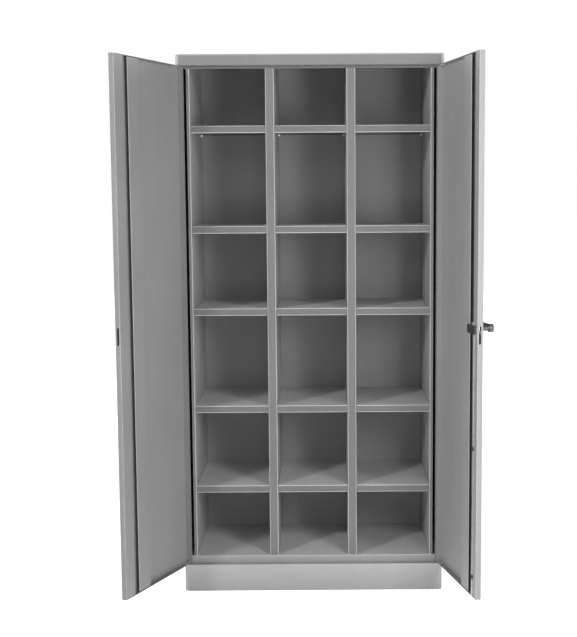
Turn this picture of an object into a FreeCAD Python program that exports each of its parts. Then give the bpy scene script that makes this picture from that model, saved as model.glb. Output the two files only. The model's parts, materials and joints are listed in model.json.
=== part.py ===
import FreeCAD, Part
import math
import os
import re
import Sketcher

# Pigeonhole cupboard in folded sheet steel: three bays of six cells behind two
# pivot-hung doors, closed by a handle that turns a tongue and two lock rods.
# Millimetres. X runs to the right, Y from the front to the back, Z up. The origin
# is on the floor, under the middle of the plinth's front face.
# The doors are built closed and then swung open about their pivots.

DIMENSIONS = (
    # carcass
    ("cabinet_width", 880, "over the lid"),
    ("cabinet_depth", 450, "over the lid, front face to back face"),
    ("cabinet_height", 1800, "floor to the top of the lid"),
    ("sheet", 1.0, "gauge of the carcass steel"),
    ("fascia_height", 35, "front of the lid above the doors"),
    ("plinth_height", 92, "front kick plate below the doors"),
    ("corner_radius", 15, "upright corners of the lid and the plinth"),
    ("lid_bend", 6, "bend round the top of the lid"),
    ("sheet_bend", 3, "ordinary outside bend"),
    ("stop_depth", 23, "front face to the plane that the doors close towards"),
    ("stop_drop", 10, "door stop that shows below the fascia"),
    ("side_return", 23, "front return of a side panel"),
    ("back_return", 15, "rear return of a side panel"),
    ("floor_level", 117, "top of the floor pan"),
    ("ledge_depth", 10, "plinth ledge under the floor pan"),
    ("foot_flange", 20, "rear plinth flange on the floor"),
    ("floor_flange", 21, "rear flange of the floor pan"),
    ("back_lift", 2, "back panel clear of the floor"),
    # posts
    ("post_inset", 43.25, "side of the lid to the inner face of a liner"),
    ("divider_width", 29, "hollow upright between two bays"),
    ("outer_bay_extra", 10, "outer bays wider than the middle one"),
    ("liner_flange", 10.5, "front and rear flanges of a side liner"),
    ("liner_hem", 8, "turned-back edge of the front flange"),
    ("slot_pitch", 55, "height step of the slots"),
    ("slot_height", 14, "one slot"),
    ("slot_width", 4, "one slot"),
    ("slot_front", 106, "stop plane to the front slots"),
    ("slot_rear", 371, "stop plane to the rear slots"),
    # shelves
    ("shelf_lip", 24, "front lip of a shelf"),
    ("shelf_hem", 8, "turned-in edge of the lip"),
    ("shelf_flange", 12, "side and rear flanges of a shelf"),
    ("shelf_gap", 1, "clearance at each end of a shelf"),
    ("shelf_sheet", 1.0, "gauge of a shelf"),
    ("clip_gauge", 3, "plate of a shelf clip"),
    ("clip_reach", 7, "clip from the wall under the shelf"),
    ("clip_seat", 6, "height of a clip under the shelf"),
    ("clip_hook", 5, "clip inside the post"),
    # doors
    ("door_sheet", 1.0, "gauge of a door"),
    ("door_depth", 18, "thickness of a door"),
    ("door_gap", 2, "door to fascia and door to plinth"),
    ("meeting_gap", 3, "between the closed doors"),
    ("door_bend", 2.5, "outside bends of a door"),
    ("left_lip", 31, "return lip at the left door's free edge"),
    ("right_lip", 37, "return lip at the right door's free edge"),
    ("joggle_width", 26, "stepped edge of the left door's lip"),
    ("joggle_level", 15, "that step above the door's outer face"),
    ("stiffener_width", 72, "upright channel in a door"),
    ("stiffener_inset", 85, "free edge to that channel"),
    ("stiffener_top", 16, "channel above the outer face"),
    ("stiffener_edge", 2, "turned-down edge at its open side"),
    ("stiffener_short", 2, "channel short of each end flange"),
    ("pivot_inset", 9, "pivot axis from the door's side and face"),
    ("pivot_radius", 4, "pivot pin"),
    ("pivot_clearance", 0.05, "pin in its bush, radial"),
    ("bush_wall", 1.4, "wall of a pivot bush"),
    ("bush_collar", 1.5, "thickness of a bush's collar"),
    ("bush_length", 4, "bush inside the ledge"),
    ("pivot_plate", 30, "length of the plate that carries a pin"),
    ("pivot_plate_gauge", 3, "its thickness"),
    ("left_open_angle", 111.2, "left door, degrees from closed"),
    ("right_open_angle", 101.2, "right door, degrees from closed"),
    # lock
    ("lock_level", 936, "handle axis above the floor"),
    ("lock_inset", 30, "free edge to the handle axis"),
    ("lock_slot_low", 46, "door-edge slot below the handle axis"),
    ("lock_slot_high", 8, "door-edge slot above the handle axis"),
    ("lock_slot_width", 7, "width of the door-edge slot"),
    ("cam_level", 8.5, "outer face to the tongue plate"),
    ("cam_gauge", 3, "tongue plate"),
    ("cam_radius", 21, "hub of the tongue plate"),
    ("tongue_width", 14, "tongue"),
    ("tongue_length", 48, "handle axis to the tongue's tip"),
    ("crank_radius", 16, "handle axis to a crank pin"),
    ("crank_pin_radius", 2.5, "crank pin"),
    ("crank_pin_reach", 3.5, "short crank pin below the tongue plate"),
    ("crank_play", 0.8, "crank pin in its slot, radial"),
    ("upper_rod_inset", 19, "free edge to the middle of the upper rod"),
    ("lower_rod_inset", 35, "free edge to the middle of the lower rod"),
    ("rod_width", 10, "flat lock rod"),
    ("rod_gauge", 2, "flat lock rod"),
    ("rod_layer_gap", 0.8, "tongue plate to the upper rod"),
    ("rod_play", 0.3, "rod in its guides and holes"),
    ("rod_tip_inset", 0.5, "rod's tip inside the door when unlocked"),
    ("guide_height", 12, "rod guide"),
    ("guide_wall", 2.5, "rod guide"),
    ("guide_cap", 1.4, "rod guide over the rod"),
    ("cover_height", 26, "cover over the lock"),
    ("cover_drop", 5, "handle axis to the middle of that cover"),
    ("cover_inner", 14, "free edge to the cover"),
    ("cover_outer", 92, "free edge to the cover's far side"),
    ("cover_level", 21, "outer face to the underside of the cover"),
    ("cover_gauge", 1.2, "cover over the lock"),
    ("cover_foot", 6, "feet of the cover"),
    ("spindle_radius", 4, "handle spindle"),
    ("spindle_play", 0.5, "spindle in the door skin, radial"),
    ("base_width", 30, "handle's base plate"),
    ("base_height", 74, "handle's base plate"),
    ("base_gauge", 5, "handle's base plate"),
    ("neck_radius", 8, "handle's neck"),
    ("neck_clearance", 0.05, "neck in the base plate, radial"),
    ("hub_radius", 12.5, "handle's hub"),
    ("handle_stand", 29, "door face to the back of the lever"),
    ("lever_gauge", 11, "thickness of the lever"),
    ("lever_height", 20, "lever at the hub"),
    ("lever_tip_height", 15, "lever at its tip"),
    ("lever_length", 104, "handle axis to the lever's tip"),
    ("barrel_radius", 7, "key barrel"),
    ("barrel_length", 9, "key barrel in the hub"),
    ("barrel_proud", 1, "key barrel above the hub"),
    ("keyway_width", 1.6, "keyhole"),
    ("keyway_length", 8, "keyhole"),
    ("screw_radius", 2.5, "screw of the base plate"),
    ("screw_head_radius", 4.5, "its head, inside the door"),
    ("screw_head", 2.5, "its head, inside the door"),
    ("screw_spread", 26, "handle axis to each screw"),
)
SHELF_SHARES = (0.90, 0.69, 0.52, 0.31, 0.14)   # height of each row of shelves, as a share of the slots
DECIMALS = 4

doc = FreeCAD.newDocument("pigeonhole_cupboard")
dims = doc.addObject("Spreadsheet::Sheet", "dims")
for index, (alias, amount, note) in enumerate(DIMENSIONS, start=1):
    dims.set(f"A{index}", alias)
    dims.set(f"B{index}", str(amount))
    dims.setAlias(f"B{index}", alias)
    dims.set(f"C{index}", note)
doc.recompute()
size = {alias: float(dims.get(alias)) for alias, _, _ in DIMENSIONS}

# Lengths that several pieces share, written as formulas of the sheet's cells.
BODY_HALF = "(cabinet_width / 2 - sheet)"
INNER_HALF = "(cabinet_width / 2 - 2 * sheet)"
RAIL_HALF = "(cabinet_width / 2 - sheet - side_return)"
BACK_FACE = "(cabinet_depth - 2 * sheet)"
POST_FRONT = "(stop_depth + sheet)"
POST_DEPTH = "(cabinet_depth - 3 * sheet - stop_depth)"
POST_HEIGHT = "(cabinet_height - sheet - floor_level)"
LINER_FACE = "(cabinet_width / 2 - post_inset)"
MIDDLE_BAY = "((cabinet_width - 2 * post_inset - 2 * divider_width - 2 * outer_bay_extra) / 3)"
OUTER_BAY = f"({MIDDLE_BAY} + outer_bay_extra)"
SLOT_COUNT = "floor((cabinet_height - fascia_height - stop_drop - floor_level - slot_height) / slot_pitch)"
FASCIA_LEVEL = "(cabinet_height - fascia_height)"
DOOR_WIDTH = "(cabinet_width / 2 - sheet - meeting_gap / 2)"
DOOR_LOW = "(plinth_height + door_gap)"
DOOR_HEIGHT = "(cabinet_height - fascia_height - plinth_height - 2 * door_gap)"
UPPER_ROD_LAYER = "(cam_level - rod_layer_gap - rod_gauge)"
LOWER_ROD_LAYER = "(door_depth + rod_play)"

body_half = size["cabinet_width"] / 2 - size["sheet"]
middle_bay = (size["cabinet_width"] - 2 * size["post_inset"] - 2 * size["divider_width"]
              - 2 * size["outer_bay_extra"]) / 3
slot_count = math.floor((size["cabinet_height"] - size["fascia_height"] - size["stop_drop"]
                         - size["floor_level"] - size["slot_height"]) / size["slot_pitch"])
shelf_slots = [round(share * slot_count) for share in SHELF_SHARES]
pieces = []


def linked(text):
    """A formula with every alias written as a cell of the sheet."""
    return re.sub(r"[a-z][a-z_0-9]*\b(?!\()", lambda word: "dims." + word.group(0), text)


def publish(item, label, placement=None):
    """Mark a finished object as one exported piece."""
    item.Label = label
    if placement is not None:
        item.Placement = placement
    pieces.append(item)
    return item


def bind(item, **formulas):
    for prop, text in formulas.items():
        item.setExpression(prop, linked(text))
    return item


def locate(item, spot):
    for axis, text in zip("xyz", spot):
        item.setExpression(f"Placement.Base.{axis}", linked(text))
    return item


def box(name, span, spot):
    """A block: span is its X, Y and Z length, spot its lowest corner, all formulas."""
    item = doc.addObject("Part::Box", name)
    bind(item, Length=span[0], Width=span[1], Height=span[2])
    return locate(item, spot)


def rod(name, radius, length, spot, along="Z"):
    """A cylinder from spot, along +Z or +Y."""
    item = doc.addObject("Part::Cylinder", name)
    bind(item, Radius=radius, Height=length)
    if along == "Y":
        item.Placement.Rotation = FreeCAD.Rotation(FreeCAD.Vector(1, 0, 0), -90)
    return locate(item, spot)


def fuse(name, *parts):
    item = doc.addObject("Part::MultiFuse", name)
    item.Shapes = list(parts)
    item.Refine = True
    return item


def cut(name, base, *tools):
    item = doc.addObject("Part::Cut", name)
    item.Base = base
    item.Tool = tools[0] if len(tools) == 1 else fuse(name + "_tools", *tools)
    return item


def edges(shape, test):
    """Numbers of the edges for which test(lower corner, upper corner) holds."""
    found = []
    for number, edge in enumerate(shape.Edges, start=1):
        bounds = edge.BoundBox
        low = (bounds.XMin, bounds.YMin, bounds.ZMin)
        high = (bounds.XMax, bounds.YMax, bounds.ZMax)
        if test(low, high):
            found.append(number)
    return found


def near(a, b):
    return abs(a - b) < 1e-4


def rounded(name, source, radius, test):
    """A Part fillet of the edges that test picks."""
    source.recompute(True)
    item = doc.addObject("Part::Fillet", name)
    item.Base = source
    item.Edges = [(number, radius, radius) for number in edges(source.Shape, test)]
    item.recompute()
    return item


def upright(low, high):
    return near(low[0], high[0]) and near(low[1], high[1]) and not near(low[2], high[2])


def front_corners(source):
    """Test for the upright edges at the front of a block."""
    source.recompute(True)
    front = source.Shape.BoundBox.YMin
    return lambda low, high: upright(low, high) and near(low[1], front)


def level_edges(source, at_top=True, front_only=False):
    """Test for the edges round the top or bottom of a block, but for its back edge."""
    source.recompute(True)
    bounds = source.Shape.BoundBox
    level = bounds.ZMax if at_top else bounds.ZMin

    def test(low, high):
        flat = near(low[2], level) and near(high[2], level)
        behind = near(low[1], bounds.YMax) and near(high[1], bounds.YMax)
        ahead = near(high[1], bounds.YMin)
        return flat and not behind and (ahead or not front_only)

    return test


def origin_feature(body, role):
    return next(item for item in body.Origin.OriginFeatures if item.Role == role)


def outline(body, name, plane, points):
    """A closed sketch through points, each coordinate bound to a formula."""
    sketch = body.newObject("Sketcher::SketchObject", name)
    sketch.AttachmentSupport = [(origin_feature(body, plane), "")]
    sketch.MapMode = "FlatFace"
    count = len(points)
    spots = []
    holder = doc.addObject("App::FeaturePython", name + "_points")
    for index, (across, along) in enumerate(points):
        for letter, text in (("X", across), ("Y", along)):
            holder.addProperty("App::PropertyFloat", f"{letter}{index}")
            holder.setExpression(f"{letter}{index}", linked(text))
    holder.recompute()
    for index in range(count):
        x = getattr(holder, f"X{index}")
        y = getattr(holder, f"Y{index}")
        spots.append(FreeCAD.Vector(x, y, 0))
    for index in range(count):
        line = Part.LineSegment(spots[index], spots[(index + 1) % count])
        sketch.addGeometry(line, False)
    for index in range(count):
        sketch.addConstraint(Sketcher.Constraint("Coincident", index, 2, (index + 1) % count, 1))
    for index, (across, along) in enumerate(points):
        spot = spots[index]
        for kind, text, amount in (("DistanceX", across, spot.x), ("DistanceY", along, spot.y)):
            number = sketch.addConstraint(Sketcher.Constraint(kind, -1, 1, index, 1, amount))
            title = f"{kind}{index}"
            sketch.renameConstraint(number, title)
            sketch.setExpression("Constraints." + title, linked(text))
    doc.removeObject(holder.Name)
    return sketch


def pad(body, name, sketch, length):
    item = body.newObject("PartDesign::Pad", name)
    item.Profile = sketch
    bind(item, Length=length)
    sketch.Visibility = False
    item.recompute(True)
    return item


def bend(body, name, base, radius, test):
    """A fillet inside a body, its radius bound to a formula."""
    item = body.newObject("PartDesign::Fillet", name)
    item.Base = (base, [f"Edge{number}" for number in edges(base.Shape, test)])
    bind(item, Radius=radius)
    item.recompute(True)
    return item


def mirror_x(points):
    return [(f"-({across})", along) for across, along in reversed(points)]


def corner(x, y):
    """Test for the upright edge at one point of the plan."""
    return lambda low, high: upright(low, high) and near(low[0], x) and near(low[1], y)


# ---------------------------------------------------------------- carcass
def rounded_block(name, span, spot, radius, top_radius):
    """A block with its front upright corners and its top edges rounded."""
    block = box(name + "_block", span, spot)
    turned = rounded(name + "_corners", block, radius, front_corners(block))
    return rounded(name, turned, top_radius, level_edges(turned))


def make_lid():
    """Lid with a deep front fascia, and a ledge under it that carries the top pivots."""
    radius = size["corner_radius"]
    outer = rounded_block("lid_outer", ("cabinet_width", "cabinet_depth", "fascia_height"),
                          ("-cabinet_width / 2", "0", FASCIA_LEVEL), radius, size["lid_bend"])
    inner = rounded_block(
        "lid_inner",
        ("cabinet_width - 2 * sheet", "cabinet_depth - 2 * sheet", "fascia_height - 2 * sheet"),
        ("sheet - cabinet_width / 2", "sheet", FASCIA_LEVEL + " + sheet"),
        radius - size["sheet"], size["lid_bend"] - size["sheet"])
    behind = box("lid_behind",
                 ("cabinet_width - 2 * sheet", "cabinet_depth - stop_depth - sheet", "2 * sheet"),
                 ("sheet - cabinet_width / 2", "stop_depth", FASCIA_LEVEL))
    holes = [rod(f"lid_bush_hole_{name}", "pivot_radius + bush_wall", "3 * sheet",
                 (f"{sign} * ({BODY_HALF} - pivot_inset)", "pivot_inset", FASCIA_LEVEL + " - sheet"))
             for name, sign in (("left", "-1"), ("right", "1"))]
    holes.append(rod_hole("lid_rod_hole", "upper", UPPER_ROD_LAYER, FASCIA_LEVEL + " - sheet"))
    publish(cut("lid", outer, inner, behind, *holes), "lid")


def rod_hole(name, end, layer, level):
    """Slot through a ledge where a lock rod passes when the door is closed and locked."""
    return box(name, ("rod_width + 4 * rod_play", "rod_gauge + 4 * rod_play", "3 * sheet"),
               (f"{BODY_HALF} - {DOOR_WIDTH} + {end}_rod_inset - rod_width / 2 - 2 * rod_play",
                f"{layer} - 2 * rod_play", level))


def make_plinth():
    """Front kick plate, folded back into a ledge at the top and a foot at the floor."""
    radius = size["corner_radius"]
    outer = rounded_block("plinth_outer", ("cabinet_width - 2 * sheet", "stop_depth", "plinth_height"),
                          ("-" + BODY_HALF, "0", "0"), radius, size["sheet_bend"])
    inner = rounded_block(
        "plinth_inner", ("cabinet_width - 4 * sheet", "stop_depth", "plinth_height - 2 * sheet"),
        ("-" + INNER_HALF, "sheet", "sheet"),
        radius - size["sheet"], size["sheet_bend"] - size["sheet"])
    holes = [rod(f"plinth_bush_hole_{name}", "pivot_radius + bush_wall", "bush_length + sheet",
                 (f"{sign} * ({BODY_HALF} - pivot_inset)", "pivot_inset", "plinth_height - bush_length"))
             for name, sign in (("left", "-1"), ("right", "1"))]
    holes.append(rod_hole("plinth_rod_hole", "lower", LOWER_ROD_LAYER, "plinth_height - 2 * sheet"))
    shell = cut("plinth_shell", outer, inner, *holes)
    ledge = box("plinth_ledge", (f"2 * {RAIL_HALF}", "ledge_depth", "sheet"),
                ("-" + RAIL_HALF, "stop_depth", "plinth_height - sheet"))
    publish(fuse("plinth_front", shell, ledge), "plinth_front")

    wall_half = f"({BODY_HALF} - back_return - sheet)"
    wall = box("plinth_rear_wall", (f"2 * {wall_half}", "sheet", "floor_level - floor_flange"),
               ("-" + wall_half, BACK_FACE + " - sheet", "0"))
    foot = box("plinth_rear_foot", (f"2 * {wall_half}", "foot_flange", "sheet"),
               ("-" + wall_half, BACK_FACE + " - foot_flange", "0"))
    publish(fuse("plinth_rear", wall, foot), "plinth_rear")


def mirrored(source, name, label):
    """The right-hand twin of a left-hand piece."""
    item = doc.addObject("Part::Mirroring", name)
    item.Source = source
    item.Normal = (1, 0, 0)
    return publish(item, label)


def make_sides():
    """Side panels: one tall sheet each, with a return at the front and one at the back."""
    points = [
        (BODY_HALF, "stop_depth"),
        (RAIL_HALF, "stop_depth"),
        (RAIL_HALF, "stop_depth + sheet"),
        (INNER_HALF, "stop_depth + sheet"),
        (INNER_HALF, BACK_FACE + " - sheet"),
        (BODY_HALF + " - back_return", BACK_FACE + " - sheet"),
        (BODY_HALF + " - back_return", BACK_FACE),
        (BODY_HALF, BACK_FACE),
    ]
    body = doc.addObject("PartDesign::Body", "side_left")
    plan = outline(body, "side_plan", "XY_Plane", mirror_x(points))
    sheet = pad(body, "side_sheet", plan, "cabinet_height - lid_bend")
    bend(body, "side_bend", sheet, "door_bend", corner(-body_half, size["stop_depth"]))
    publish(body, "side_panel_left")
    mirrored(body, "side_right", "side_panel_right")


def make_back():
    panel = box("back", (f"2 * {BODY_HALF}", "sheet", "cabinet_height - lid_bend - back_lift"),
                ("-" + BODY_HALF, BACK_FACE, "back_lift"))
    publish(panel, "back_panel")


def make_stop_rail():
    """Door stop that hangs below the fascia, between the side panels."""
    rail = box("stop_rail", (f"2 * {RAIL_HALF}", "sheet", "fascia_height + stop_drop - sheet"),
               ("-" + RAIL_HALF, "stop_depth", FASCIA_LEVEL + " - stop_drop"))
    publish(rail, "top_stop_rail")


def make_floor():
    """Floor pan with a bent front edge that stands on the plinth's ledge."""
    drop = "(floor_level - plinth_height)"
    block = box("floor_block", (f"2 * {RAIL_HALF}", f"{BACK_FACE} - sheet - stop_depth", drop),
                ("-" + RAIL_HALF, "stop_depth", "plinth_height"))
    turned = rounded("floor_turned", block, size["sheet_bend"], level_edges(block, front_only=True))
    hollow = box("floor_hollow_block",
                 (f"2 * {RAIL_HALF}", f"{BACK_FACE} - sheet - stop_depth", f"{drop} - sheet"),
                 ("-" + RAIL_HALF, POST_FRONT, "plinth_height"))
    inner = rounded("floor_hollow", hollow, size["sheet_bend"] - size["sheet"],
                    level_edges(hollow, front_only=True))
    shell = cut("floor_shell", turned, inner)
    plate = box("floor_plate", (f"2 * {INNER_HALF}", f"{BACK_FACE} - 2 * sheet - stop_depth", "sheet"),
                ("-" + INNER_HALF, POST_FRONT, "floor_level - sheet"))
    rear_half = f"({BODY_HALF} - back_return - sheet)"
    rear = box("floor_rear", (f"2 * {rear_half}", "sheet", "floor_flange"),
               ("-" + rear_half, BACK_FACE + " - sheet", "floor_level - floor_flange"))
    publish(fuse("floor_pan", shell, plate, rear), "floor_pan")


# ---------------------------------------------------------------- posts and shelves
def punch_slots(body, base_name):
    """Two columns of clip slots through a post, repeated up its height."""
    columns = []
    for name, start in (("front", "slot_front - slot_width / 2"), ("rear", "slot_rear - slot_width / 2")):
        points = [
            (start, "slot_pitch"),
            (start + " + slot_width", "slot_pitch"),
            (start + " + slot_width", "slot_pitch + slot_height"),
            (start, "slot_pitch + slot_height"),
        ]
        sketch = outline(body, f"{base_name}_{name}_slot", "YZ_Plane", points)
        pocket = body.newObject("PartDesign::Pocket", f"{base_name}_{name}_pocket")
        pocket.Profile = sketch
        pocket.Type = "ThroughAll"
        pocket.Midplane = True
        pocket.Refine = False
        sketch.Visibility = False
        columns.append(pocket)
    pattern = body.newObject("PartDesign::LinearPattern", base_name + "_slots")
    pattern.Originals = columns
    pattern.Direction = (origin_feature(body, "Z_Axis"), [""])
    bind(pattern, Length=f"({SLOT_COUNT} - 1) * slot_pitch", Occurrences=SLOT_COUNT)
    pattern.Refine = False
    body.Tip = pattern


def make_liners():
    """Slotted inner side walls, each with a hemmed front flange and a rear flange."""
    points = [
        ("0", "0"),
        ("0", POST_DEPTH),
        ("liner_flange", POST_DEPTH),
        ("liner_flange", POST_DEPTH + " - sheet"),
        ("sheet", POST_DEPTH + " - sheet"),
        ("sheet", "sheet"),
        ("liner_flange - sheet", "sheet"),
        ("liner_flange - sheet", "liner_hem"),
        ("liner_flange", "liner_hem"),
        ("liner_flange", "0"),
    ]
    body = doc.addObject("PartDesign::Body", "liner_left")
    wall = pad(body, "liner_wall", outline(body, "liner_plan", "XY_Plane", mirror_x(points)), POST_HEIGHT)
    turned = bend(body, "liner_bend", wall, "sheet_bend", corner(0, 0))
    bend(body, "liner_hem_bend", turned, "sheet_bend - sheet", corner(-size["liner_flange"], 0))
    punch_slots(body, "liner")
    locate(body, (f"-{LINER_FACE}", POST_FRONT, "floor_level"))
    publish(body, "side_liner_left")
    mirrored(body, "liner_right", "side_liner_right")


def make_dividers():
    """Hollow uprights between the bays, slotted on both sides."""
    half = "divider_width / 2"
    outer = [("-" + half, "0"), (half, "0"), (half, POST_DEPTH), ("-" + half, POST_DEPTH)]
    inner = [
        (f"sheet - {half}", "sheet"),
        (f"{half} - sheet", "sheet"),
        (f"{half} - sheet", POST_DEPTH + " - sheet"),
        (f"sheet - {half}", POST_DEPTH + " - sheet"),
    ]
    body = doc.addObject("PartDesign::Body", "divider_left")
    block = pad(body, "divider_block", outline(body, "divider_plan", "XY_Plane", outer), POST_HEIGHT)
    edge = size["divider_width"] / 2
    turned = bend(body, "divider_bend", block, "sheet_bend",
                  lambda low, high: upright(low, high) and near(low[1], 0) and near(abs(low[0]), edge))
    core = body.newObject("PartDesign::Pocket", "divider_core")
    core.Profile = outline(body, "divider_core_plan", "XY_Plane", inner)
    core.Type = "ThroughAll"
    core.Reversed = True
    core.Profile[0].Visibility = False
    core.recompute(True)
    if core.Shape.Volume > turned.Shape.Volume / 2:
        raise ValueError("the divider wasn't hollowed")
    punch_slots(body, "divider")
    locate(body, (f"-({MIDDLE_BAY} + divider_width) / 2", POST_FRONT, "floor_level"))
    publish(body, "divider_left")
    mirrored(body, "divider_right", "divider_right")


def make_shelf_form(name, wide):
    """One folded shelf: a plate with a hemmed front lip, side flanges and a rear flange."""
    plate = "shelf_sheet"
    depth = POST_DEPTH
    points = [
        ("0", "0"),
        (depth, "0"),
        (depth, "-shelf_flange"),
        (f"{depth} - {plate}", "-shelf_flange"),
        (f"{depth} - {plate}", "-" + plate),
        (plate, "-" + plate),
        (plate, f"{plate} - shelf_lip"),
        ("shelf_hem", f"{plate} - shelf_lip"),
        ("shelf_hem", "-shelf_lip"),
        ("0", "-shelf_lip"),
    ]
    body = doc.addObject("PartDesign::Body", name)
    folded = pad(body, f"{name}_folded", outline(body, f"{name}_section", "YZ_Plane", points),
                 wide + " - 2 * shelf_gap")
    lip = size["shelf_lip"]

    def across(y, z):
        return lambda low, high: (near(low[1], y) and near(high[1], y) and near(low[2], z)
                                  and near(high[2], z) and not near(low[0], high[0]))

    gauge = size["shelf_sheet"]
    top = bend(body, f"{name}_top_bend", folded, "sheet_bend", across(0, 0))
    low = bend(body, f"{name}_low_bend", top, "sheet_bend", across(0, -lip))
    inner = bend(body, f"{name}_inner_bend", low, "sheet_bend - shelf_sheet", across(gauge, -gauge))
    bend(body, f"{name}_inner_low_bend", inner, "sheet_bend - shelf_sheet", across(gauge, gauge - lip))
    for side, start in (("left", "0"), ("right", wide + " - 2 * shelf_gap - shelf_sheet")):
        flange = body.newObject("PartDesign::AdditiveBox", f"{name}_{side}_flange")
        bind(flange, Length=plate, Width=f"{depth} - shelf_hem - {plate}", Height="shelf_flange - shelf_sheet / 2")
        locate(flange, (start, "shelf_hem", "-shelf_flange"))
        flange.recompute()
    body.recompute()
    return body


def copy_of(source, name, label, spot):
    """A fixed copy of a finished shape, placed by formulas."""
    item = doc.addObject("Part::Feature", name)
    item.Shape = source.Shape.copy()
    locate(item, spot)
    return publish(item, label)


def slot_level(number):
    return f"(floor_level + {number} * slot_pitch)"


def make_shelves():
    outer = make_shelf_form("outer_shelf", OUTER_BAY)
    middle = make_shelf_form("middle_shelf", MIDDLE_BAY)
    starts = (f"-{LINER_FACE} + shelf_gap", f"-{MIDDLE_BAY} / 2 + shelf_gap",
              f"{MIDDLE_BAY} / 2 + divider_width + shelf_gap")
    for row, slot in enumerate(shelf_slots, start=1):
        level = f"{slot_level(slot)} + slot_height - 2 * sheet + shelf_flange"
        for bay, (form, start) in enumerate(zip((outer, middle, outer), starts), start=1):
            copy_of(form, f"shelf_{row}_{bay}", f"shelf_r{row}_c{bay}", (start, POST_FRONT, level))


def make_clips():
    """Clips that hook into the slots and carry the shelves' side flanges."""
    tall = size["slot_height"] - 2 * size["sheet"]
    gauge = size["clip_gauge"]
    hook = size["clip_hook"]
    wall = size["sheet"]
    gap = 0.2
    web = Part.makeBox(wall + hook, gauge, tall, FreeCAD.Vector(0, -gauge / 2, 0))
    seat = Part.makeBox(size["clip_reach"] + wall, gauge, size["clip_seat"],
                        FreeCAD.Vector(-size["clip_reach"], -gauge / 2, tall - size["clip_seat"]))
    tail = Part.makeBox(hook - gap, gauge, 3 * wall,
                        FreeCAD.Vector(wall + gap, -gauge / 2, -3 * wall))
    right_clip = web.fuse([seat, tail]).removeSplitter().Solids[0]
    left_clip = right_clip.mirror(FreeCAD.Vector(0, 0, 0), FreeCAD.Vector(1, 0, 0))
    solids = []
    liner_face = size["cabinet_width"] / 2 - size["post_inset"]
    near_face = middle_bay / 2
    far_face = near_face + size["divider_width"]
    walls = ((-liner_face, left_clip), (-far_face, right_clip), (-near_face, left_clip),
             (near_face, right_clip), (far_face, left_clip), (liner_face, right_clip))
    for slot in shelf_slots:
        low = size["floor_level"] + slot * size["slot_pitch"]
        for face, clip in walls:
            for column in ("slot_front", "slot_rear"):
                y = size["stop_depth"] + wall + size[column]
                solids.append(clip.translated(FreeCAD.Vector(face, y, low)))
    item = doc.addObject("Part::Feature", "clips")
    item.Shape = Part.makeCompound(solids)
    publish(item, "shelf_clips")


# ---------------------------------------------------------------- doors
class Door:
    """Builds a door's pieces closed, from its hinge side, and swings them open together."""

    def __init__(self, name, sign):
        self.name = name
        self.sign = sign
        angle = sign * size[f"{name}_open_angle"]
        pivot = FreeCAD.Vector(sign * (body_half - size["pivot_inset"]), size["pivot_inset"], 0)
        turn = FreeCAD.Rotation(FreeCAD.Vector(0, 0, 1), angle)
        self.swing = FreeCAD.Placement(FreeCAD.Vector(0, 0, 0), turn, pivot)

    def across(self, start, span="0"):
        """X of a piece that starts at this distance from the door's hinge side."""
        if self.sign < 0:
            return f"({start}) - {BODY_HALF}"
        return f"{BODY_HALF} - ({start}) - ({span})"

    def block(self, name, span, start, depth, level):
        """A block: span is width, depth and height; start is measured from the hinge side."""
        return box(f"{self.name}_{name}", span, (self.across(start, span[0]), depth, level))

    def pin(self, name, radius, length, start, depth, level):
        return rod(f"{self.name}_{name}", radius, length, (self.across(start), depth, level))

    def peg(self, name, radius, length, start, depth, level):
        """A cylinder along the door's thickness."""
        return rod(f"{self.name}_{name}", radius, length, (self.across(start), depth, level), "Y")

    def place(self, item, label):
        item.recompute(True)
        return publish(item, label, self.swing)

    def edge_slot(self):
        """Slot in the free edge's flange where the tongue passes."""
        return self.block("edge_slot",
                          ("3 * door_sheet", "lock_slot_width", "lock_slot_low + lock_slot_high"),
                          DOOR_WIDTH + " - 2 * door_sheet",
                          "cam_level + cam_gauge / 2 - lock_slot_width / 2",
                          "lock_level - lock_slot_low")


def make_door_panel(door, extra_cuts, extra_parts=()):
    """Pan-folded door skin with flanges all round and a return lip at the free edge."""
    block = door.block("pan_block", (DOOR_WIDTH, "door_depth", DOOR_HEIGHT), "0", "0", DOOR_LOW)
    block.recompute()
    bounds = block.Shape.BoundBox
    free_x = bounds.XMax if door.sign < 0 else bounds.XMin

    def outside(low, high):
        face = near(low[1], bounds.YMin) and near(high[1], bounds.YMin)
        free = upright(low, high) and near(low[0], free_x)
        return face or free

    pan = rounded(f"{door.name}_pan", block, size["door_bend"], outside)
    inside = f"{DOOR_HEIGHT} - 2 * door_sheet"
    low = f"{DOOR_LOW} + door_sheet"
    lip = f"{door.name}_lip"
    recess = door.block("recess", (f"{DOOR_WIDTH} - door_sheet - {lip}", "door_depth", inside),
                        "door_sheet", "door_sheet", low)
    under = door.block("under_lip", (f"{lip} + door_sheet", "door_depth - 2 * door_sheet", inside),
                       f"{DOOR_WIDTH} - {lip} - 2 * door_sheet", "door_sheet", low)
    holes = [
        door.pin("low_pivot_hole", "pivot_radius", "3 * door_sheet", "pivot_inset", "pivot_inset",
                 f"{DOOR_LOW} - door_sheet"),
        door.pin("top_pivot_hole", "pivot_radius", "3 * door_sheet", "pivot_inset", "pivot_inset",
                 f"{FASCIA_LEVEL} - door_gap - 2 * door_sheet"),
    ]
    shell = cut(f"{door.name}_shell", pan, recess, under, door.edge_slot(), *holes, *extra_cuts)
    if extra_parts:
        shell = fuse(f"{door.name}_skin", shell, *extra_parts)
    door.place(shell, f"{door.name}_door_panel")


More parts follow.
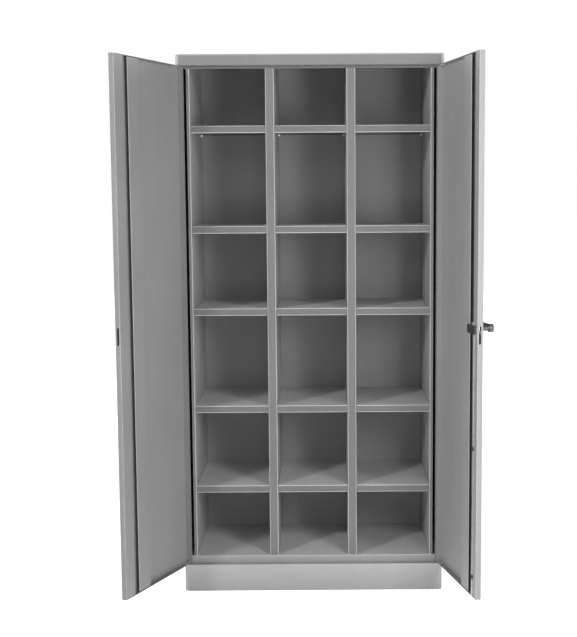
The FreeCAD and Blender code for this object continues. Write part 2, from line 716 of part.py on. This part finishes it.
def make_stiffener(door):
    """Upright channel welded to the skin, open towards the free edge."""
    start = f"({DOOR_WIDTH} - stiffener_inset - stiffener_width)"
    tall = f"({DOOR_HEIGHT} - 2 * door_sheet - 2 * stiffener_short)"
    low = f"({DOOR_LOW} + door_sheet + stiffener_short)"
    block = door.block("hat_block", ("stiffener_width", "stiffener_top - door_sheet", tall),
                       start, "door_sheet", low)
    block.recompute()
    top = block.Shape.BoundBox.YMax
    hat = rounded(f"{door.name}_hat", block, size["door_bend"],
                  lambda low_end, high_end: upright(low_end, high_end) and near(low_end[1], top))
    hollow = door.block("hat_hollow",
                        ("stiffener_width - 2 * door_sheet", "stiffener_top - 2 * door_sheet", tall),
                        f"{start} + door_sheet", "door_sheet", low)
    opening = door.block("hat_opening",
                         ("3 * door_sheet", "stiffener_top - stiffener_edge - door_sheet", tall),
                         f"{start} + stiffener_width - 2 * door_sheet", "door_sheet", low)
    door.place(cut(f"{door.name}_stiffener", hat, hollow, opening), f"{door.name}_door_stiffener")


def make_pivots(door):
    """Two pivot pins, each welded to a plate inside a corner of the door."""
    solids = []
    reach = "(door_gap + bush_length)"
    for name, plate_level, pin_level in (
            ("low", f"{DOOR_LOW} + door_sheet", f"{DOOR_LOW} - {reach}"),
            ("top", f"{FASCIA_LEVEL} - door_gap - door_sheet - pivot_plate_gauge",
             f"{FASCIA_LEVEL} - door_gap - door_sheet - pivot_plate_gauge")):
        plate = door.block(f"{name}_plate",
                           ("pivot_plate", "door_depth - 2 * door_sheet", "pivot_plate_gauge"),
                           "door_sheet", "door_sheet", plate_level)
        pin = door.pin(f"{name}_pin", "pivot_radius", f"{reach} + door_sheet + pivot_plate_gauge",
                       "pivot_inset", "pivot_inset", pin_level)
        solids.append(fuse(f"{door.name}_{name}_pivot", plate, pin))
    pair = doc.addObject("Part::Compound", f"{door.name}_pivots")
    pair.Links = solids
    door.place(pair, f"{door.name}_door_pivots")


def make_bushes():
    """Collared bushes in the two ledges, which the doors' pivot pins turn in."""
    solids = []
    for side, sign in (("left", "-1"), ("right", "1")):
        x = f"{sign} * ({BODY_HALF} - pivot_inset)"
        for end, collar, barrel in (
                ("low", "plinth_height", "plinth_height - bush_length"),
                ("top", FASCIA_LEVEL + " - bush_collar", FASCIA_LEVEL)):
            name = f"bush_{side}_{end}"
            ring = rod(name + "_collar", "pivot_radius + 2 * bush_wall", "bush_collar",
                       (x, "pivot_inset", collar))
            sleeve = rod(name + "_sleeve", "pivot_radius + bush_wall", "bush_length",
                         (x, "pivot_inset", barrel))
            bore = rod(name + "_bore", "pivot_radius + pivot_clearance", "4 * bush_length",
                       (x, "pivot_inset", f"{collar} - 2 * bush_length"))
            solids.append(cut(name, fuse(name + "_body", ring, sleeve), bore))
    group = doc.addObject("Part::Compound", "bushes")
    group.Links = solids
    publish(group, "pivot_bushes")


# ---------------------------------------------------------------- lock
AXIS = f"({DOOR_WIDTH} - lock_inset)"
HALF_THROW = math.sin(math.pi / 4)


def lock_cuts(door):
    """Holes in the right door for the spindle, the screws and the upper lock rod."""
    holes = [door.peg("spindle_hole", "spindle_radius + spindle_play", "3 * door_sheet",
                      AXIS, "-door_sheet", "lock_level")]
    for name, sign in (("upper", "1"), ("lower", "-1")):
        holes.append(door.peg(f"{name}_screw_hole", "screw_radius + rod_play", "3 * door_sheet",
                              AXIS, "-door_sheet", f"lock_level + {sign} * screw_spread"))
    holes.append(door.block("upper_rod_hole",
                            ("rod_width + 2 * rod_play", "rod_gauge + 2 * rod_play", "3 * door_sheet"),
                            f"{DOOR_WIDTH} - upper_rod_inset - rod_width / 2 - rod_play",
                            f"{UPPER_ROD_LAYER} - rod_play", f"{FASCIA_LEVEL} - door_gap - 2 * door_sheet"))
    return holes


def make_rod(door, name, layer, sign):
    """Flat lock rod with a slotted foot that a crank pin drives. sign is +1 for the upper rod."""
    throw = f"(crank_radius * {HALF_THROW:.6f})"
    rest = f"(lock_level - {sign} * {throw})"
    start = f"({DOOR_WIDTH} - {name}_rod_inset - rod_width / 2)"
    half = "(crank_pin_radius + crank_play + 3 * door_sheet)"
    if sign > 0:
        foot_start = f"({AXIS} + {throw} - {half})"
        foot_end = f"({AXIS} + crank_radius + {half})"
        bar_low = rest
        bar_tall = f"({FASCIA_LEVEL} - door_gap - rod_tip_inset - {rest})"
        slot_start = f"({AXIS} + {throw} - crank_pin_radius - crank_play)"
    else:
        foot_start = f"({AXIS} - crank_radius - {half})"
        foot_end = f"({AXIS} - {throw} + {half})"
        bar_low = f"({DOOR_LOW} + rod_tip_inset)"
        bar_tall = f"({rest} - {bar_low})"
        slot_start = f"({AXIS} - crank_radius - crank_pin_radius - crank_play)"
    bar = door.block(f"{name}_bar", ("rod_width", "rod_gauge", bar_tall), start, layer, bar_low)
    foot = door.block(f"{name}_foot", (f"{foot_end} - {foot_start}", "rod_gauge", f"2 * {half}"),
                      foot_start, layer, f"{rest} - {half}")
    slot = door.block(f"{name}_slot",
                      (f"crank_radius - {throw} + 2 * (crank_pin_radius + crank_play)",
                       "3 * rod_gauge", "2 * (crank_pin_radius + crank_play)"),
                      slot_start, f"{layer} - rod_gauge", f"{rest} - crank_pin_radius - crank_play")
    door.place(cut(f"{name}_rod_cut", fuse(f"{name}_rod_bar", bar, foot), slot), f"{name}_lock_rod")


# Rod guides, as shares of the way from the lock to the door's end.
GUIDE_SHARES = {"near": 0.45, "far": 0.93}


def make_guides(door):
    """Saddles that the lock rods slide through: on the skin above, on the lip below."""
    solids = []
    wide = "(rod_width + 2 * rod_play + 2 * guide_wall)"
    for name, layer, foot, end in (
            ("upper", UPPER_ROD_LAYER, "door_sheet", f"({FASCIA_LEVEL} - door_gap)"),
            ("lower", LOWER_ROD_LAYER, "door_depth", DOOR_LOW)):
        start = f"({DOOR_WIDTH} - {name}_rod_inset - rod_width / 2 - rod_play - guide_wall)"
        tall = f"({layer} + rod_gauge + rod_play + guide_cap - {foot})"
        for reach, share in GUIDE_SHARES.items():
            level = f"(lock_level + {share} * ({end} - lock_level))"
            block = door.block(f"{name}_{reach}_guide", (wide, tall, "guide_height"),
                               start, foot, level)
            way = door.block(f"{name}_{reach}_way",
                             ("rod_width + 2 * rod_play", "rod_gauge + 2 * rod_play", "3 * guide_height"),
                             f"{start} + guide_wall", f"{layer} - rod_play", f"{level} - guide_height")
            solids.append(cut(f"{name}_{reach}_saddle", block, way))
    group = doc.addObject("Part::Compound", "guides")
    group.Links = solids
    door.place(group, "rod_guides")


def make_cover(door):
    """Folded cover over the lock, with a foot on the lip and a foot on the channel."""
    wide = "(cover_outer - cover_inner)"
    low = "lock_level - cover_drop - cover_height / 2"
    start = f"({DOOR_WIDTH} - cover_outer)"
    plate = door.block("cover_plate", (wide, "cover_gauge", "cover_height"), start, "cover_level", low)
    near_foot = door.block("cover_near_foot",
                           ("cover_foot", "cover_level + cover_gauge / 2 - door_depth", "cover_height"),
                           f"{DOOR_WIDTH} - cover_inner - cover_foot", "door_depth", low)
    far_foot = door.block("cover_far_foot",
                          ("cover_foot", "cover_level + cover_gauge / 2 - stiffener_top", "cover_height"),
                          start, "stiffener_top", low)
    door.place(fuse("cover_body", plate, near_foot, far_foot), "lock_cover")


def make_tongue(door):
    """Tongue plate: points down when unlocked and turns through the door's edge to lock."""
    hub = door.peg("cam_hub", "cam_radius", "cam_gauge", AXIS, "cam_level", "lock_level")
    arm = door.block("cam_arm", ("tongue_width", "cam_gauge", "tongue_length"),
                     f"{AXIS} - tongue_width / 2", "cam_level", "lock_level - tongue_length")
    throw = f"(crank_radius * {HALF_THROW:.6f})"
    outer = door.peg("crank_outer", "crank_pin_radius", "crank_pin_reach + cam_gauge / 2",
                     f"{AXIS} + {throw}", "cam_level - crank_pin_reach", f"lock_level - {throw}")
    inner = door.peg("crank_inner", "crank_pin_radius",
                     f"{LOWER_ROD_LAYER} + rod_gauge - cam_level - cam_gauge / 2",
                     f"{AXIS} - {throw}", "cam_level + cam_gauge / 2", f"lock_level + {throw}")
    eye = door.peg("cam_eye", "spindle_radius", "3 * cam_gauge", AXIS, "cam_level - cam_gauge", "lock_level")
    door.place(cut("tongue_cut", fuse("tongue_plate", hub, arm, outer, inner), eye), "lock_tongue")


def make_handle(door):
    """Lever handle with its base plate, screws, spindle and key barrel."""
    base = door.block("base_block", ("base_width", "base_gauge", "base_height"),
                      f"{AXIS} - base_width / 2", "-base_gauge", "lock_level - base_height / 2")
    base.recompute()
    bounds = base.Shape.BoundBox
    turned = rounded("base_corners", base, size["base_width"] / 3,
                     lambda low, high: near(low[0], high[0]) and near(low[2], high[2]))
    soft = rounded("base_soft", turned, size["sheet"],
                   lambda low, high: near(low[1], bounds.YMin) and near(high[1], bounds.YMin))
    bore = door.peg("base_bore", "neck_radius + neck_clearance", "3 * base_gauge", AXIS,
                    "-2 * base_gauge", "lock_level")
    threads = [door.peg(f"{name}_thread", "screw_radius", "base_gauge", AXIS, "-base_gauge / 2 - base_gauge / 4",
                        f"lock_level + {sign} * screw_spread")
               for name, sign in (("upper", "1"), ("lower", "-1"))]
    door.place(cut("handle_base_cut", soft, bore, *threads), "handle_base")

    screws = []
    for name, sign in (("upper", "1"), ("lower", "-1")):
        level = f"lock_level + {sign} * screw_spread"
        shank = door.peg(f"{name}_shank", "screw_radius", "3 * base_gauge / 4 + door_sheet", AXIS,
                         "-3 * base_gauge / 4", level)
        head = door.peg(f"{name}_head", "screw_head_radius", "screw_head", AXIS, "door_sheet", level)
        screws.append(fuse(f"{name}_screw", shank, head))
    pair = doc.addObject("Part::Compound", "base_screws")
    pair.Links = screws
    door.place(pair, "handle_screws")

    top = "(handle_stand + lever_gauge)"
    hub = door.peg("hub", "hub_radius", "lever_gauge + 3 * sheet", AXIS, "-" + top, "lock_level")
    lever = door.block("lever_block", ("lever_length", "lever_gauge", "lever_height"),
                       f"{AXIS} - lever_length", "-" + top, "lock_level - lever_height / 2")
    lever.recompute()
    bounds = lever.Shape.BoundBox
    tip_x = bounds.XMin if door.sign < 0 else bounds.XMax
    tip = rounded("lever_tip", lever, size["lever_height"] / 2 - size["sheet"],
                  lambda low, high: (near(low[0], tip_x) and near(high[0], tip_x)
                                     and near(low[2], high[2])))
    easy = rounded("lever_soft", tip, size["door_bend"],
                   lambda low, high: ((near(high[1], bounds.YMin) or near(low[1], bounds.YMax))
                                      and near(low[1], high[1])
                                      and not (near(low[0], high[0]) and not near(low[0], tip_x))))
    neck_full = door.peg("neck_full", "neck_radius", f"{top} - 3 * sheet / 10", AXIS, "-" + top, "lock_level")
    socket = door.peg("barrel_bore", "barrel_radius + neck_clearance", "barrel_length + sheet", AXIS,
                      f"-{top} - sheet", "lock_level")
    shaft_hole = door.peg("shaft_hole", "spindle_radius", "handle_stand / 2 + 5 * sheet", AXIS,
                          "-handle_stand / 2", "lock_level")
    body = fuse("handle_body", neck_full, hub, easy)
    door.place(cut("handle_cut", body, socket, shaft_hole), "handle_lever")

    spindle = door.peg("spindle", "spindle_radius", "handle_stand / 2 + cam_level + cam_gauge", AXIS,
                       "-handle_stand / 2", "lock_level")
    shaft = doc.addObject("Part::Compound", "shaft")
    shaft.Links = [spindle]
    door.place(shaft, "handle_spindle")

    barrel = door.peg("barrel", "barrel_radius", "barrel_length + barrel_proud", AXIS,
                      f"-{top} - barrel_proud", "lock_level")
    keyway = door.block("keyway", ("keyway_width", "4 * barrel_proud", "keyway_length"),
                        f"{AXIS} - keyway_width / 2", f"-{top} - 2 * barrel_proud",
                        "lock_level - keyway_length / 2")
    door.place(cut("barrel_cut", barrel, keyway), "lock_barrel")


def make_left_door():
    door = Door("left", -1)
    start = f"({DOOR_WIDTH} - left_lip - joggle_width)"
    inside = f"{DOOR_HEIGHT} - 2 * door_sheet"
    low = f"{DOOR_LOW} + door_sheet"
    step = door.block("joggle", ("joggle_width + door_sheet", "door_sheet", inside),
                      start, "joggle_level", low)
    riser = door.block("riser", ("door_sheet", "door_depth - joggle_level", inside),
                       f"{DOOR_WIDTH} - left_lip", "joggle_level", low)
    make_door_panel(door, [], (step, riser))
    make_stiffener(door)
    make_pivots(door)


def make_right_door():
    door = Door("right", 1)
    make_door_panel(door, lock_cuts(door))
    make_stiffener(door)
    make_pivots(door)
    make_tongue(door)
    make_rod(door, "upper", UPPER_ROD_LAYER, 1)
    make_rod(door, "lower", LOWER_ROD_LAYER, -1)
    make_guides(door)
    make_cover(door)
    make_handle(door)


make_lid()
make_plinth()
make_sides()
make_liners()
make_dividers()
make_back()
make_stop_rail()
make_floor()
make_shelves()
make_clips()
make_bushes()
make_left_door()
make_right_door()
doc.recompute()

for item in doc.Objects:
    if {"Invalid", "Error"} & set(item.State):
        raise ValueError(f"{item.Label} failed: {item.State}")
for piece in pieces:
    if piece.Shape.isNull() or not piece.Shape.isValid() or not piece.Shape.Solids:
        raise ValueError(f"{piece.Label} has no valid shape")

os.makedirs("parts", exist_ok=True)
for piece in pieces:
    piece.Shape.exportStep(f"parts/{piece.Label}.step")
    print(f"{piece.Label:24s} {len(piece.Shape.Solids):3d} solids {piece.Shape.Volume / 1000:10.2f} cm3")
print(len(pieces), "nodes")
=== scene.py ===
import json
import math

import bpy
from mathutils import Matrix, Vector

# Looks of a grey steel pigeonhole cupboard with both doors open. The CAD nodes keep
# their shapes and get paint, zinc and plastic. Metres, in the frame of the CAD.

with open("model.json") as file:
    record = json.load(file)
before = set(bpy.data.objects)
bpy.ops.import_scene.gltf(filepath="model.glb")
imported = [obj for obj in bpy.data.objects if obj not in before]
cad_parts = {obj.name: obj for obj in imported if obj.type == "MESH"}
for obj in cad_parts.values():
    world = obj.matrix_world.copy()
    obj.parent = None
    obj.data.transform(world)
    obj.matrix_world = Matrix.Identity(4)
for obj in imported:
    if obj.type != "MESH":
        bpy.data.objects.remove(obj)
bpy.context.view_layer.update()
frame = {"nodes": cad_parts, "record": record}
nodes = frame["nodes"]

# ---------------------------------------------------------------- materials
LEFT_OPEN, RIGHT_OPEN = -111.2, 101.2     # how far the doors stand open, in degrees

# How much of a face's direction lies along one axis: 1 on a flat face, 0.7 halfway round a bend. These
# set where the painted shade and painted light by the way a face looks, and the painted highlight in the
# bends, take hold.
FLAT = 0.985                   # from here up, all of the painted light and shade for the way the face looks, none of the bends'
TILTED = 0.9                   # from here down, none of the painted light and shade for the way the face looks
FOLDED = 0.86                  # from here down, all of the painted highlight of the bends

SATIN_ROUGHNESS = 0.56
RUBBED_ROUGHNESS = 0.45        # in the streaks
SATIN_SPECULAR = 0.3
SCUFF_TONE = 1.15              # the streaks, against the paint's own grey
SPECK_TONE = 0.82              # the fine specks, against the paint's own grey
FLOOR_SHADE_TONE = 0.72              # painted shade on all of the paint, at the floor


def grey(level):
    return (level, level, level, 1.0)


class Shader:
    """A small builder for one node material."""

    def __init__(self, name):
        self.material = bpy.data.materials.new(name)
        self.material.use_nodes = True
        self.tree = self.material.node_tree
        self.surface = self.tree.nodes["Principled BSDF"]
        self.place = self.add("ShaderNodeTexCoord").outputs["Object"]

    def add(self, kind, **settings):
        node = self.tree.nodes.new(kind)
        for key, value in settings.items():
            setattr(node, key, value)
        return node

    def link(self, source, target):
        self.tree.links.new(source, target)

    def drive(self, socket, source):
        """Let a source set one of the surface's own sockets."""
        self.link(source, self.surface.inputs[socket])

    def put(self, socket, value):
        """Set one of the surface's own sockets to a value."""
        self.surface.inputs[socket].default_value = value

    def noise(self, scale, detail=2.0, roughness=0.5, stretch=None):
        """Noise from 0 to 1, in features per metre. A stretch below 1 draws it out along that axis."""
        source = self.place
        if stretch is not None:
            mapping = self.add("ShaderNodeMapping")
            mapping.inputs["Scale"].default_value = stretch
            self.link(source, mapping.inputs["Vector"])
            source = mapping.outputs["Vector"]
        noise = self.add("ShaderNodeTexNoise")
        noise.inputs["Scale"].default_value = scale
        noise.inputs["Detail"].default_value = detail
        noise.inputs["Roughness"].default_value = roughness
        self.link(source, noise.inputs["Vector"])
        return noise.outputs["Fac"]

    def spread(self, source, low, high, start=0.35, end=0.65):
        """Map a value between start and end onto low to high, and hold it beyond them."""
        node = self.add("ShaderNodeMapRange")
        node.inputs["From Min"].default_value = start
        node.inputs["From Max"].default_value = end
        node.inputs["To Min"].default_value = low
        node.inputs["To Max"].default_value = high
        self.link(source, node.inputs["Value"])
        return node.outputs["Result"]

    def mix(self, amount, first, second):
        """Colour between first and second, each a socket or a colour."""
        node = self.add("ShaderNodeMix", data_type="RGBA")
        self.link(amount, node.inputs["Factor"])
        for socket, value in (("A", first), ("B", second)):
            target = [item for item in node.inputs if item.name == socket and item.type == "RGBA"][0]
            if isinstance(value, tuple):
                target.default_value = value
            else:
                self.link(value, target)
        return [item for item in node.outputs if item.type == "RGBA"][0]

    def clouded(self, cloud, level, dark, light):
        """A grey that follows the cloud from dark to light, both as factors on its level."""
        return self.mix(self.spread(cloud, 0.0, 1.0), grey(level * dark), grey(level * light))

    def math(self, operation, first, second):
        """A sum, product or other operation on two sockets or numbers."""
        node = self.add("ShaderNodeMath", operation=operation)
        for socket, value in zip(node.inputs, (first, second)):
            if isinstance(value, (int, float)):
                socket.default_value = value
            else:
                self.link(value, socket)
        return node.outputs[0]

    def unsigned(self, source):
        return self.math("ABSOLUTE", source, 0)

    def largest(self, first, *others):
        """The largest of the sources, each without its sign."""
        result = self.unsigned(first)
        for other in others:
            result = self.math("MAXIMUM", result, self.unsigned(other))
        return result

    def split(self, source):
        node = self.add("ShaderNodeSeparateXYZ")
        self.link(source, node.inputs["Vector"])
        return [node.outputs[axis] for axis in "XYZ"]

    def facing(self, turn):
        """The surface's direction with the piece swung back by turn degrees about the upright."""
        source = self.add("ShaderNodeTexCoord").outputs["Normal"]
        if turn:
            node = self.add("ShaderNodeVectorRotate", rotation_type="Z_AXIS")
            node.inputs["Angle"].default_value = math.radians(-turn)
            self.link(source, node.inputs["Vector"])
            source = node.outputs["Vector"]
        return self.split(source)

    def scaled(self, colour, amount):
        node = self.add("ShaderNodeVectorMath", operation="SCALE")
        self.link(colour, node.inputs[0])
        self.link(amount, node.inputs["Scale"])
        return node.outputs["Vector"]

    def bump(self, height, strength, distance):
        node = self.add("ShaderNodeBump")
        node.inputs["Strength"].default_value = strength
        node.inputs["Distance"].default_value = distance
        self.link(height, node.inputs["Height"])
        self.drive("Normal", node.outputs["Normal"])


def painted_light_by_face(shader, turn, front, sides, lit_tops, bend_highlight):
    """Painted light and shade as a factor on a paint's grey: by the way that a face looks, and a painted
    highlight in the bends, lighter or darker by its factor.
    """
    across, depth, height = shader.facing(turn)
    forward = shader.math("MULTIPLY", depth, -1)
    aside = shader.unsigned(across)
    # Painted highlight: the bends of the sheet come out lighter than the flat faces.
    factor = shader.spread(shader.largest(across, depth, height), bend_highlight, 1.0, start=FOLDED, end=FLAT)
    # Painted shade on faces that look forward and sideways, painted light on faces that look up.
    for source, tone in ((forward, front), (aside, sides), (height, lit_tops)):
        own_part = shader.spread(source, 0.0, tone - 1.0, start=TILTED, end=FLAT)
        factor = shader.math("ADD", factor, own_part)
    return factor


def paint(name, level, turn=0.0, front=1.0, sides=1.0, lit_tops=1.0, bend_highlight=1.5, scuffs=0.3, floor_shade_height=None):
    """Satin grey powder coat: fine orange peel, cloudy tone and faint streaks, with painted light and
    shade.

    level is the grey, and turn is how far the piece's door stands open. front, sides and lit_tops
    are factors on the tone of faces that look forward, sideways and upward: painted shade on the
    fronts and sides, painted light on the tops. bend_highlight is the factor in the bends, a painted
    highlight. scuffs is how much the streaks show. floor_shade_height is the height in metres below
    which painted shade darkens the tone towards the floor.
    """
    shader = Shader(name)
    cloud = shader.noise(scale=3.0, detail=4.0, roughness=0.55)
    streak = shader.noise(scale=9.0, detail=5.0, roughness=0.6, stretch=(1.0, 1.0, 0.18))
    grain = shader.noise(scale=900.0)
    orange_peel = shader.noise(scale=420.0)
    scuffed = shader.spread(streak, 0.0, scuffs, start=0.55, end=0.75)
    specked = shader.spread(grain, 0.0, 0.25, start=0.6, end=0.8)
    tone = shader.clouded(cloud, level, dark=0.95, light=1.05)
    tone = shader.mix(scuffed, tone, grey(level * SCUFF_TONE))
    tone = shader.mix(specked, tone, grey(level * SPECK_TONE))
    factor = painted_light_by_face(shader, turn, front, sides, lit_tops, bend_highlight)
    # Painted shade: the tone darkens towards the floor.
    if floor_shade_height is not None:
        above_floor = shader.split(shader.place)[2]
        floor_shading = shader.spread(above_floor, FLOOR_SHADE_TONE, 1.0, start=0.0, end=floor_shade_height)
        factor = shader.math("MULTIPLY", factor, floor_shading)
    shader.drive("Base Color", shader.scaled(tone, factor))
    shader.drive("Roughness", shader.spread(streak, SATIN_ROUGHNESS, RUBBED_ROUGHNESS))
    shader.put("Specular IOR Level", SATIN_SPECULAR)
    shader.bump(orange_peel, strength=0.12, distance=0.0004)
    return shader.material


def metal(name, level, roughness, metallic=1.0, stretch=(1.0, 1.0, 0.1)):
    """Zinc plate, a die casting or a lock barrel, with fine marks."""
    shader = Shader(name)
    marks = shader.noise(scale=600.0, detail=3.0, stretch=stretch)
    cloud = shader.noise(scale=60.0, detail=3.0)
    shader.drive("Base Color", shader.clouded(cloud, level, dark=0.88, light=1.08))
    shader.drive("Roughness", shader.spread(marks, roughness * 0.85, roughness * 1.15))
    shader.put("Metallic", metallic)
    shader.bump(marks, strength=0.08, distance=0.0002)
    return shader.material


def plastic(name, level, roughness):
    """Moulded plastic with a fine spark-eroded texture."""
    shader = Shader(name)
    grain = shader.noise(scale=1500.0)
    cloud = shader.noise(scale=40.0, detail=3.0)
    shader.drive("Base Color", shader.clouded(cloud, level, dark=0.85, light=1.15))
    shader.drive("Roughness", shader.spread(grain, roughness - 0.05, roughness + 0.05))
    shader.bump(grain, strength=0.2, distance=0.0002)
    return shader.material


# front and sides darken faces that look forward and sideways as painted shade; the factor for the tops
# lightens faces that look up as painted light.
FINISHES = {
    # by the record's material slot; the door slot's pieces all have finishes of their own
    "carcass": paint("paint_carcass", level=0.30, front=0.5, bend_highlight=1.3),
    "inner": paint("paint_inside", level=0.32, front=0.38, sides=1.05, bend_highlight=1.4),
    "shelf": paint("paint_shelves", level=0.33, front=0.33, lit_tops=1.52, scuffs=0.5),
    "zinc": metal("zinc_plate", level=0.62, roughness=0.5),
    "bush": plastic("black_nylon", level=0.03, roughness=0.5),
    "handle_plastic": plastic("handle_plate", level=0.05, roughness=0.45),
    "handle_metal": metal("handle_casting", level=0.085, roughness=0.5, metallic=0.4),
    "barrel": metal("polished_barrel", level=0.6, roughness=0.25, stretch=(1.0, 1.0, 1.0)),
}
# All of these grey paints are one powder coat. Their levels differ part by part as painted light and
# shade, with the left door darker than the right and the back panel darkest.
OWN_FINISHES = {
    # by the node's name
    "top_stop_rail": paint("paint_stop_rail", level=0.30, front=0.33, bend_highlight=1.2),
    "back_panel": paint("paint_back", level=0.22),
    "lock_cover": metal("cover_plate", level=0.05, roughness=0.5, metallic=0.4),
    # The plinth darkens towards the floor as painted shade.
    "plinth_front": paint("paint_plinth", level=0.285, bend_highlight=1.2, floor_shade_height=0.09),
    "floor_pan": paint("paint_floor_pan", level=0.33, front=0.7, lit_tops=1.5, bend_highlight=1.3),
    "left_door_panel": paint("paint_left_door", level=0.21, turn=LEFT_OPEN, sides=0.85, bend_highlight=1.2),
    "left_door_stiffener": paint("paint_left_channel", level=0.21, turn=LEFT_OPEN, bend_highlight=1.35),
    "right_door_panel": paint("paint_right_door", level=0.26, turn=RIGHT_OPEN, sides=0.9, bend_highlight=1.3),
    "right_door_stiffener": paint("paint_right_channel", level=0.27, turn=RIGHT_OPEN, bend_highlight=1.35),
}
for entry in frame["record"]["subparts"]:
    piece = entry["node"]
    finish = OWN_FINISHES[piece] if piece in OWN_FINISHES else FINISHES[entry["material_slot"]]
    nodes[piece].data.materials.clear()
    nodes[piece].data.materials.append(finish)

# ---------------------------------------------------------------- floor
FLOOR_HALF = 14.0
FLOOR_GREY = 0.86
NEAR_GLOW, FAR_GLOW = 0.75, 1.1           # the floor's own light, which hides its far edge
NEAR_REACH, FAR_REACH = 1.5, 5.0          # where the near glow ends and the far one begins


def make_floor():
    """A pale, plain floor."""
    corners = [(-FLOOR_HALF, -FLOOR_HALF, 0), (FLOOR_HALF, -FLOOR_HALF, 0),
               (FLOOR_HALF, FLOOR_HALF, 0), (-FLOOR_HALF, FLOOR_HALF, 0)]
    mesh = bpy.data.meshes.new("floor")
    mesh.from_pydata(corners, [], [(0, 1, 2, 3)])
    item = bpy.data.objects.new("floor", mesh)
    bpy.context.scene.collection.objects.link(item)
    shader = Shader("floor_finish")
    cloud = shader.noise(scale=1.5, detail=3.0)
    across, depth, _ = shader.split(shader.place)
    reach = shader.largest(across, depth)
    shader.drive("Base Color", shader.clouded(cloud, FLOOR_GREY, dark=0.98, light=1.0))
    shader.drive("Emission Strength", shader.spread(reach, NEAR_GLOW, FAR_GLOW, NEAR_REACH, FAR_REACH))
    shader.put("Emission Color", grey(1.0))
    shader.put("Roughness", 0.9)
    mesh.materials.append(shader.material)


make_floor()

# ---------------------------------------------------------------- light
BODY = (0.0, 0.1, 0.9)
CELLS = (0.1, 0.2, 1.0)
PLINTH = (0.0, 0.1, 0.45)
LIGHTS = (
    # name, place, aim, width and height in metres, power in watts
    ("key_left", (-2.2, -3.1, 2.7), BODY, (0.3, 0.3), 72),
    ("key_right", (2.0, -3.2, 2.7), BODY, (0.3, 0.3), 36),
    ("front", (0.0, -5.1, 3.0), BODY, (1.4, 1.4), 24),
    ("front_low", (-0.3, -3.6, 0.5), PLINTH, (1.4, 0.4), 6.5),
    ("right_outer", (1.2, -2.4, 1.35), CELLS, (0.3, 0.6), 4),
    ("right_low_outer", (1.2, -2.4, 0.8), CELLS, (0.3, 0.6), 10),
    ("right_near", (0.8, -1.9, 1.3), CELLS, (0.3, 0.6), 13),
    ("rear_left", (-3.2, 4.2, 2.6), BODY, (1.6, 1.6), 60),
    ("rear_right", (3.2, 4.2, 2.6), BODY, (1.6, 1.6), 60),
)
BAND_GLOW, CEILING_GLOW = 1.0, 0.08       # a bright band round the horizon, a dim ceiling
BAND_TOP, CEILING_START = 0.2, 0.38       # by the height of a direction of length 1


def area_light(name, spot, aim, size, power):
    data = bpy.data.lights.new(name, "AREA")
    data.shape = "RECTANGLE"
    data.size, data.size_y = size
    data.energy = power
    item = bpy.data.objects.new(name, data)
    item.location = spot
    item.rotation_euler = (Vector(aim) - Vector(spot)).to_track_quat("-Z", "Y").to_euler()
    bpy.context.scene.collection.objects.link(item)


def make_world():
    """Light from all round, by the height of its direction."""
    world = bpy.data.worlds.new("studio")
    bpy.context.scene.world = world
    world.use_nodes = True
    tree = world.node_tree
    background = tree.nodes["Background"]
    background.inputs["Color"].default_value = grey(1.0)
    direction = tree.nodes.new("ShaderNodeTexCoord").outputs["Generated"]
    axes = tree.nodes.new("ShaderNodeSeparateXYZ")
    ramp = tree.nodes.new("ShaderNodeMapRange")
    ramp.inputs["From Min"].default_value = BAND_TOP
    ramp.inputs["From Max"].default_value = CEILING_START
    ramp.inputs["To Min"].default_value = BAND_GLOW
    ramp.inputs["To Max"].default_value = CEILING_GLOW
    tree.links.new(direction, axes.inputs["Vector"])
    tree.links.new(axes.outputs["Z"], ramp.inputs["Value"])
    tree.links.new(ramp.outputs["Result"], background.inputs["Strength"])


for light in LIGHTS:
    area_light(*light)
make_world()

# ---------------------------------------------------------------- camera
IMAGE_WIDTH = 577
IMAGE_HEIGHT = 637
FOCAL_PIXELS = 1278.4          # fitted to the straight edges of the cupboard
AXIS_PIXEL = (328.45, 351.3)   # where the optical axis meets the image
CAMERA_SPOT = (0.0433, -4.2483, 1.3300)
PITCH, YAW, ROLL = 0.1188, 0.0028, 0.0059


def make_camera():
    """The camera, with the shift that puts its axis at AXIS_PIXEL."""
    lens = bpy.data.cameras.new("camera")
    lens.sensor_width = 36.0
    lens.lens = FOCAL_PIXELS / IMAGE_HEIGHT * lens.sensor_width
    lens.shift_x = (IMAGE_WIDTH / 2 - AXIS_PIXEL[0]) / IMAGE_HEIGHT
    lens.shift_y = (AXIS_PIXEL[1] - IMAGE_HEIGHT / 2) / IMAGE_HEIGHT
    lens.clip_end = 100
    camera = bpy.data.objects.new("camera", lens)
    bpy.context.scene.collection.objects.link(camera)
    forward = Vector((math.sin(YAW) * math.cos(PITCH), math.cos(YAW) * math.cos(PITCH), -math.sin(PITCH)))
    level_right = Vector((math.cos(YAW), -math.sin(YAW), 0))
    level_up = level_right.cross(forward)
    right = level_right * math.cos(ROLL) - level_up * math.sin(ROLL)
    up = level_right * math.sin(ROLL) + level_up * math.cos(ROLL)
    turn = Matrix((right, up, -forward)).transposed().to_4x4()
    camera.matrix_world = Matrix.Translation(CAMERA_SPOT) @ turn
    return camera


bpy.context.scene.camera = make_camera()
bpy.context.scene.view_settings.view_transform = "Standard"
